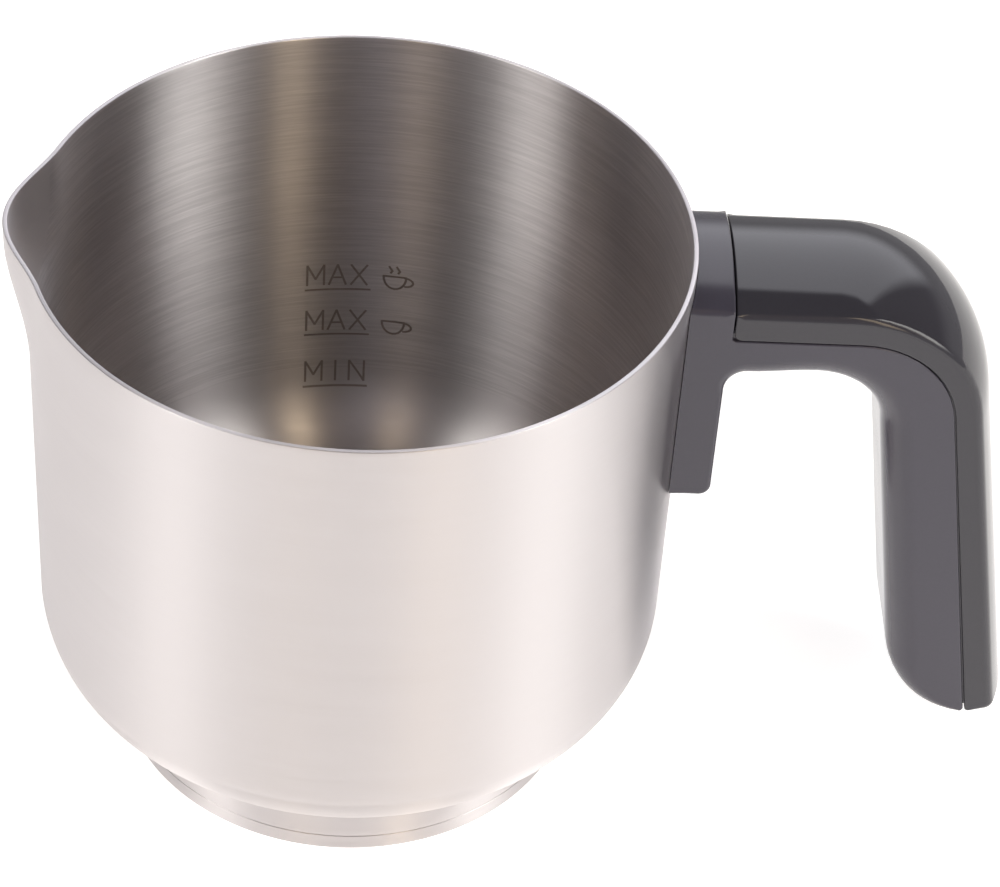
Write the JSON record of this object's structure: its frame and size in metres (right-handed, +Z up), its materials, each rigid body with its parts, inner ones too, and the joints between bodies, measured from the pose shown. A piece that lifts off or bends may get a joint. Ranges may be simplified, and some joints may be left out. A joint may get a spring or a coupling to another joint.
{
  "type": "milk frother",
  "caption": "Stainless induction frother jug with a stepped base, a pouring spout, a moulded C-shaped handle and a magnetic whisk inside.",
  "frame": {"origin": "centre of the jug's underside, on the vessel's axis", "axes": "+Z up along the vessel's axis, +X towards the handle, -X towards the spout"},
  "size_m": [0.1746, 0.108, 0.104],
  "materials": {
    "brushed_steel": "brushed round the vessel",
    "bracket_steel": "plain sheet",
    "magnetic_steel": "satin",
    "aluminium": "plain",
    "handle_plastic": "satin dark grey",
    "cover_plastic": "smooth dark grey",
    "screw_steel": "plated",
    "whisk_plastic": "satin black",
    "bearing_plastic": "plain acetal",
    "thrust_ceramic": "polished",
    "magnet": "nickel plated",
    "coil_wire": "drawn wire",
    "seal_rubber": "matt silicone"
  },
  "bodies": {
    "jug": {"vessel_shell": "brushed_steel", "heat_spreader": "aluminium", "induction_base": "magnetic_steel", "whisk_stud": "brushed_steel", "handle_bracket": "bracket_steel", "handle_body": "handle_plastic", "handle_cover": "cover_plastic", "handle_screws": "screw_steel"},
    "whisk_carrier": {"whisk_bush": "bearing_plastic", "thrust_pad": "thrust_ceramic"},
    "whisk": {"whisk_frame": "whisk_plastic", "drive_magnets": "magnet", "magnet_yoke": "magnetic_steel", "magnet_cover": "whisk_plastic", "whisk_coil": "coil_wire", "whisk_cap": "whisk_plastic", "cap_seal": "seal_rubber"}
  },
  "joints": [
    {"name": "whisk_lift", "type": "slide", "parent": "jug", "child": "whisk_carrier", "axis": [0, 0, 1], "range_m": [0, 0.1]},
    {"name": "whisk_spin", "type": "hinge", "parent": "whisk_carrier", "child": "whisk", "pos_m": [0, 0, 0.012], "axis": [0, 0, 1], "continuous": true}
  ]
}
